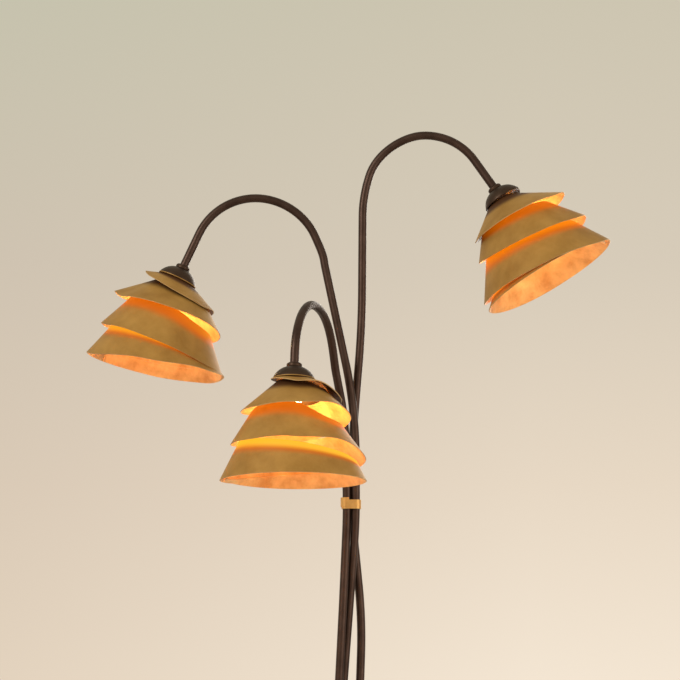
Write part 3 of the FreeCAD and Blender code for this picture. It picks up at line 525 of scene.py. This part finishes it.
def bend_points(before, corner, after, radius):
    """Start and end of a bend round a corner, and the reach of the curve's handles there."""
    back, ahead = (before - corner).normalized(), (after - corner).normalized()
    turn = math.pi - back.angle(ahead)
    cut = radius * math.tan(turn / 2)
    return corner + back * cut, corner + ahead * cut, 4 / 3 * math.tan(turn / 4) * radius


def bent_tube(side):
    """One tube as a bevelled curve: straight runs and round bends from cap to foot."""
    hook, _ = hook_corners(side)
    stem, stem_bends = stem_corners(side)
    arm = ARMS[side]
    corners = hook + stem
    bends = [arm["fall_bend"], arm["rise_bend"], arm["shoulder_bend"]] + stem_bends
    points = [(corners[0], 0.0)]
    for before, corner, after, radius in zip(corners, corners[1:], corners[2:], bends):
        start, end, reach = bend_points(before, corner, after, radius)
        if (start - points[-1][0]).length > SHORTEST_RUN:
            points.append((start, reach))
        points.append((end, reach))
    points.append((corners[-1], 0.0))

    start_clean()
    bpy.ops.curve.primitive_bezier_curve_add(enter_editmode=False, location=(0, 0, 0))
    curve = bpy.context.object
    line = curve.data
    line.splines.clear()
    spline = line.splines.new("BEZIER")
    spline.bezier_points.add(len(points) - 1)
    directions = curve_directions(corners, points)
    for bezier, (place, reach), way in zip(spline.bezier_points, points, directions):
        bezier.handle_left_type = bezier.handle_right_type = "FREE"
        bezier.co = place
        bezier.handle_left = place - way * max(reach, SHORTEST_HANDLE)
        bezier.handle_right = place + way * max(reach, SHORTEST_HANDLE)
    spline.resolution_u = 16
    line.dimensions = "3D"
    line.twist_mode = "MINIMUM"
    line.bevel_depth = TUBE_RADIUS
    line.bevel_resolution = 7
    line.use_fill_caps = True
    bpy.ops.object.convert(target="MESH")
    tube = bpy.context.object
    tube.name = tube.data.name = f"tube_{side}"
    smooth(tube, 40)
    return tube


def curve_directions(corners, points):
    """Direction of the centre line at each point of the curve."""
    runs = [(b - a).normalized() for a, b in zip(corners, corners[1:])]
    directions = []
    for place, _ in points:
        best = min(range(len(runs)), key=lambda i: off_line(place, corners[i], corners[i + 1]))
        directions.append(runs[best])
    return directions


def off_line(place, start, end):
    """Distance of a point from a straight run between two corners."""
    run = end - start
    share = max(0.0, min(1.0, (place - start).dot(run) / run.length_squared))
    return (place - start - run * share).length


def tubes():
    for side in SIDES:
        tube = bent_tube(side)
        dress(tube, BRONZE)
        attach(tube, "root")
        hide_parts(f"arm_{side}")


# ---------------------------------------------------------------- spiral shades

def along_table(table, place):
    """A smooth curve through a table's values, read at a place counted in its steps."""
    index = min(max(int(math.floor(place)), 0), len(table) - 2)
    share = place - index
    before, start, end = table[max(index - 1, 0)], table[index], table[index + 1]
    after = table[min(index + 2, len(table) - 1)]
    curve = 2 * before - 5 * start + 4 * end - after
    twist = 3 * (start - end) + after - before
    return start + 0.5 * share * (end - before + share * (curve + share * twist))


STRIP_LOW = [(radius * RIM_RADIUS, depth * SHADE_DEPTH) for radius, depth in STRIP_EDGE]
STRIP_TOP = [(radius - inward * RIM_RADIUS, depth + down * SHADE_DEPTH)
             for (radius, depth), (inward, down) in zip(STRIP_LOW[2:], STRIP_TUCK)]


def ease(share):
    """Runs smoothly from 0 to 1 as the share does, and stays there beyond."""
    share = min(max(share, 0.0), 1.0)
    return share * share * (3 - 2 * share)


def bent_by_hand(rows, half_turn):
    """How far out and down an edge stands at a half turn, in metres."""
    if half_turn <= rows[0][0]:
        return 0.0, 0.0
    for before, after in zip(rows, rows[1:]):
        if half_turn <= after[0]:
            share = ease((half_turn - before[0]) / (after[0] - before[0]))
            return tuple((before[i] + (after[i] - before[i]) * share) / 1000 for i in (1, 2))
    return rows[-1][1] / 1000, rows[-1][2] / 1000


def strip_edges(side, half_turn, bearing, slope):
    """Upper and lower edge of the strip at a half turn, as (radius, height)."""
    radius, depth = (along_table([row[i] for row in STRIP_LOW], 2 * (half_turn + 1)) for i in (0, 1))
    low_rows, top_rows = HAND_BENT[side]
    out, down = bent_by_hand(low_rows, half_turn)
    radius, depth = radius + out, depth + down
    low = (radius, radius * math.cos(bearing) * slope * (1 - ease(half_turn)) - depth)
    on_hub = HUB_SEAT * math.cos(bearing) * slope - SHEET / 2
    if half_turn < 2:
        left_hub = ease(half_turn - 1)
        top = (HUB_SEAT + (STRIP_TOP[0][0] - HUB_SEAT) * left_hub,
               on_hub + (-STRIP_TOP[0][1] - on_hub) * left_hub)
    else:
        top = (along_table([row[0] for row in STRIP_TOP], 2 * (half_turn - 2)),
               -along_table([row[1] for row in STRIP_TOP], 2 * (half_turn - 2)))
        out, down = bent_by_hand(top_rows, half_turn)
        top = (top[0] + out, top[1] - down)
    return top, low


def wound_strip(side, *materials):
    """A flat strip, wound down from the hub as the table says, given its sheet and cut edges."""
    start_clean()
    steps, rows = 420, 7
    bpy.ops.mesh.primitive_grid_add(x_subdivisions=steps, y_subdivisions=rows, size=1)
    strip = bpy.context.object
    strip.name = strip.data.name = f"strip_{side}"
    dress(strip, *materials)
    slope = math.tan(math.radians(ARMS[side]["shade_lean"]))
    for vertex in strip.data.vertices:
        along, down = vertex.co.x + 0.5, vertex.co.y + 0.5
        half_turn = STRIP_START + (STRIP_END - STRIP_START) * along
        bearing = math.radians(ARMS[side]["shade_turn"] + 180 * half_turn)
        (top_r, top_z), (low_r, low_z) = strip_edges(side, half_turn, bearing, slope)
        radius = top_r + (low_r - top_r) * down
        height = top_z + (low_z - top_z) * down
        vertex.co = (radius * math.cos(bearing), radius * math.sin(bearing), height)
    work = bmesh.new()
    work.from_mesh(strip.data)
    outward_faces = sum(f.normal.dot(Vector((f.calc_center_median().x, f.calc_center_median().y, 0)))
                        for f in work.faces)
    if outward_faces < 0:
        bmesh.ops.reverse_faces(work, faces=work.faces)
    work.to_mesh(strip.data)
    work.free()
    sheet = strip.modifiers.new("sheet", "SOLIDIFY")
    sheet.thickness, sheet.offset = SHEET, -1.0
    sheet.use_even_offset = True
    sheet.material_offset, sheet.material_offset_rim = 1, 2
    apply_modifiers(strip)
    return strip


def shades():
    for side in SIDES:
        strip = wound_strip(side, leaf_outside(side), leaf_inside(side), LEAF_EDGE_HIGHLIGHT)
        set_place(strip, shade_place(side))
        smooth(strip, 50)
        hub = turned(f"hub_{side}", [(HUB_BORE, 0.0), (HUB_RADIUS, 0.0),
                                     (HUB_RADIUS, -SHEET), (HUB_BORE, -SHEET)])
        bevelled(hub, 0.0002, 2)
        set_place(hub, cap_place(side))
        # The right hub takes the dark cap colour, as the start of its strip is drawn dark.
        dress(hub, CAP_BRONZE if side == "right" else HUB_LEAF)
        smooth(hub)
        for piece in (strip, hub):
            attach(piece, "root")
        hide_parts(f"spiral_shade_{side}")


# ---------------------------------------------------------------- heads

def caps():
    """Three domed caps: each an arc from the flat round its bore down to its rim, hollow below."""
    steps = 12
    chord = Vector((CAP_RADIUS - CAP_TOP_RADIUS, -CAP_HEIGHT))
    centre_back = math.sqrt(CAP_BULGE ** 2 - (chord.length / 2) ** 2)
    middle = Vector((CAP_TOP_RADIUS, CAP_HEIGHT)) + chord / 2
    centre = middle + Vector((chord.y, -chord.x)).normalized() * centre_back
    first = math.atan2(CAP_HEIGHT - centre.y, CAP_TOP_RADIUS - centre.x)
    last = math.atan2(-centre.y, CAP_RADIUS - centre.x)
    turns = [first + (last - first) * n / steps for n in range(steps + 1)]
    arc = [(centre.x + CAP_BULGE * math.cos(turn), centre.y + CAP_BULGE * math.sin(turn))
           for turn in turns]
    inside = [(CAP_RADIUS - CAP_WALL, 0.0), CAP_HOLLOW, (CAP_BORE, CAP_HEIGHT - CAP_WALL)]
    for side in SIDES:
        cap = turned(f"cap_{side}", [(CAP_BORE, CAP_HEIGHT)] + arc + inside)
        bevelled(cap, 0.0003, 2, 50)
        set_place(cap, cap_place(side))
        dress(cap, CAP_BRONZE)
        smooth(cap, 40)
        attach(cap, "root")
        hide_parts(f"dome_cap_{side}")


def collars():
    """Three bevelled rings where the tubes meet the caps."""
    top = CAP_HEIGHT + COLLAR_HEIGHT
    for side in SIDES:
        ring = turned(f"collar_{side}", [
            (COLLAR_BORE, CAP_HEIGHT), (COLLAR_RADIUS - COLLAR_FOOT_BEVEL, CAP_HEIGHT),
            (COLLAR_RADIUS, CAP_HEIGHT + COLLAR_FOOT_BEVEL), (COLLAR_RADIUS, top - COLLAR_BEVEL),
            (COLLAR_TOP_RADIUS, top), (COLLAR_BORE, top)], sides=48)
        bevelled(ring, 0.0003, 2)
        set_place(ring, cap_place(side))
        dress(ring, CAP_BRONZE)
        smooth(ring)
        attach(ring, "root")
    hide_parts("collars")


# ---------------------------------------------------------------- foot

def foot():
    """Round iron foot with a rounded upper edge, hollow below as the casting is."""
    steps = 8
    edge = [(FOOT_RADIUS - FOOT_EDGE + FOOT_EDGE * math.cos(math.pi / 2 * n / steps),
             FOOT_TOP - FOOT_EDGE + FOOT_EDGE * math.sin(math.pi / 2 * n / steps))
            for n in range(steps + 1)]
    casting = turned("foot_casting", [
        (FOOT_BORE, FOOT_WELL_TOP), (FOOT_WELL_RADIUS, FOOT_WELL_TOP),
        (FOOT_WELL_RADIUS, FOOT_LEDGE_TOP), (FOOT_LEDGE_RADIUS, FOOT_LEDGE_TOP),
        (FOOT_LEDGE_RADIUS, FOOT_LOW), (FOOT_RADIUS - FOOT_CHAMFER, FOOT_LOW),
        (FOOT_RADIUS, FOOT_LOW + FOOT_CHAMFER)] + edge + [(FOOT_BORE, FOOT_TOP)], sides=160)
    bevelled(casting, 0.0004, 2)
    dress(casting, IRON)
    smooth(casting, 40)
    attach(casting, "root")
    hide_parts("foot_weight")


# ---------------------------------------------------------------- materials of the CAD pieces

CAD_LOOKS = {
    "nipples": BRASS, "spacers": STEEL, "locknuts": STEEL, "foot_nuts": STEEL,
    "foot_rings": BRONZE, "bottom_plate": STEEL, "plate_screws": STEEL, "foot_pad": FELT,
    "connector_block": RUBBER, "inlet_bush": RUBBER, "stem_band": BAND_GOLD,
}
for side_name in SIDES:
    CAD_LOOKS.update({
        f"flex_{side_name}": FLEX, f"lampholder_{side_name}": CERAMIC,
        f"bulb_{side_name}": BULB, f"bulb_pins_{side_name}": STEEL,
    })


def dress_cad():
    for name, made in CAD_LOOKS.items():
        dress(nodes[name], made)


# ---------------------------------------------------------------- room, light and camera

def room():
    start_clean()
    bpy.ops.mesh.primitive_circle_add(vertices=96, radius=FLOOR_RADIUS, fill_type="NGON",
                                      location=(0, 0, 0))
    floor = bpy.context.object
    floor.name = "floor"
    made = bpy.data.materials.new("pale_floor")
    made.use_nodes = True
    tree = made.node_tree
    shader = tree.nodes["Principled BSDF"]
    noise = node_at(tree, "ShaderNodeTexNoise", Scale=1.5, Detail=3.0)
    ramp = tree.nodes.new("ShaderNodeValToRGB")
    ramp.color_ramp.elements[0].color = (0.66, 0.60, 0.51, 1)
    ramp.color_ramp.elements[1].color = (0.72, 0.66, 0.57, 1)
    tree.links.new(noise.outputs["Fac"], ramp.inputs["Fac"])
    tree.links.new(ramp.outputs["Color"], shader.inputs["Base Color"])
    shader.inputs["Roughness"].default_value = 0.85
    floor.data.materials.append(made)


def backdrop():
    """A pale backdrop, seen by the camera and in gloss, lighter towards the floor and to the right;
    the light it gives is even."""
    world = bpy.data.worlds.new("studio")
    bpy.context.scene.world = world
    world.use_nodes = True
    tree = world.node_tree
    tree.nodes.clear()
    out = tree.nodes.new("ShaderNodeOutputWorld")
    where = tree.nodes.new("ShaderNodeTexCoord")
    split = tree.nodes.new("ShaderNodeSeparateXYZ")
    link = tree.links.new
    link(where.outputs["Generated"], split.inputs["Vector"])
    rise = node_at(tree, "ShaderNodeMapRange", From_Min=0.0, From_Max=0.32)
    link(split.outputs["Z"], rise.inputs["Value"])
    right = tree.nodes.new("ShaderNodeValToRGB")
    left = tree.nodes.new("ShaderNodeValToRGB")
    for ramp, shades_of_wall in (
            (right, [(0.0, (0.905, 0.790, 0.650)), (0.30, (0.800, 0.685, 0.550)),
                     (0.62, (0.680, 0.600, 0.485)), (1.0, (0.610, 0.560, 0.440))]),
            (left, [(0.0, (0.770, 0.650, 0.515)), (0.30, (0.700, 0.590, 0.470)),
                    (0.62, (0.625, 0.545, 0.440)), (1.0, (0.565, 0.540, 0.420))])):
        stops = ramp.color_ramp.elements
        while len(stops) < len(shades_of_wall):
            stops.new(0.5)
        for stop, (place, color) in zip(stops, shades_of_wall):
            stop.position, stop.color = place, (*color, 1)
        link(rise.outputs["Result"], ramp.inputs["Fac"])
    sideways = node_at(tree, "ShaderNodeMapRange", From_Min=-0.16, From_Max=0.09)
    link(split.outputs["X"], sideways.inputs["Value"])
    mix = tree.nodes.new("ShaderNodeMix")
    mix.data_type = "RGBA"
    link(sideways.outputs["Result"], mix.inputs["Factor"])
    link(left.outputs["Color"], mix.inputs["A"])
    link(right.outputs["Color"], mix.inputs["B"])
    seen = tree.nodes.new("ShaderNodeBackground")
    link(mix.outputs["Result"], seen.inputs["Color"])
    lit = tree.nodes.new("ShaderNodeBackground")
    lit.inputs["Color"].default_value = (0.95, 0.90, 0.84, 1)
    lit.inputs["Strength"].default_value = 0.62
    rays = tree.nodes.new("ShaderNodeLightPath")
    shown = rays.outputs["Is Camera Ray"]
    for kind in ("Is Glossy Ray", "Is Transmission Ray"):
        either = tree.nodes.new("ShaderNodeMath")
        either.operation = "MAXIMUM"
        link(shown, either.inputs[0])
        link(rays.outputs[kind], either.inputs[1])
        shown = either.outputs["Value"]
    choice = tree.nodes.new("ShaderNodeMixShader")
    link(shown, choice.inputs["Fac"])
    link(lit.outputs["Background"], choice.inputs[1])
    link(seen.outputs["Background"], choice.inputs[2])
    link(choice.outputs["Shader"], out.inputs["Surface"])


def area_light(name, place, aim, size, power, color):
    start_clean()
    bpy.ops.object.light_add(type="AREA", location=place)
    light = bpy.context.object
    light.name = name
    light.data.shape = "DISK"
    light.data.size = size
    light.data.energy = power
    light.data.color = color
    light.rotation_euler = (Vector(aim) - Vector(place)).to_track_quat("-Z", "Y").to_euler()


def lights():
    area_light("key", (-2.6, -2.6, 3.0), (0, 0, 1.5), 1.6, 60.0, (1.0, 0.97, 0.92))
    area_light("fill", (2.8, -2.2, 1.6), (0, 0, 1.3), 1.8, 26.0, (1.0, 0.95, 0.88))
    area_light("back", (0.8, 2.6, 2.2), (0, 0, 1.4), 1.6, 24.0, (1.0, 0.95, 0.88))


def camera():
    start_clean()
    bpy.ops.object.camera_add(location=CAMERA_PLACE)
    made = bpy.context.object
    made.rotation_euler = (CAMERA_AIM - CAMERA_PLACE).to_track_quat("-Z", "Y").to_euler()
    made.data.sensor_width = SENSOR * 1000
    made.data.lens = FOCAL_PIXELS / PICTURE_PIXELS * SENSOR * 1000
    made.data.clip_end = 100
    bpy.context.scene.camera = made


camera()
tubes()
shades()
caps()
collars()
foot()
dress_cad()
room()
backdrop()
lights()

scene_view = bpy.context.scene.view_settings
scene_view.view_transform = "Standard"
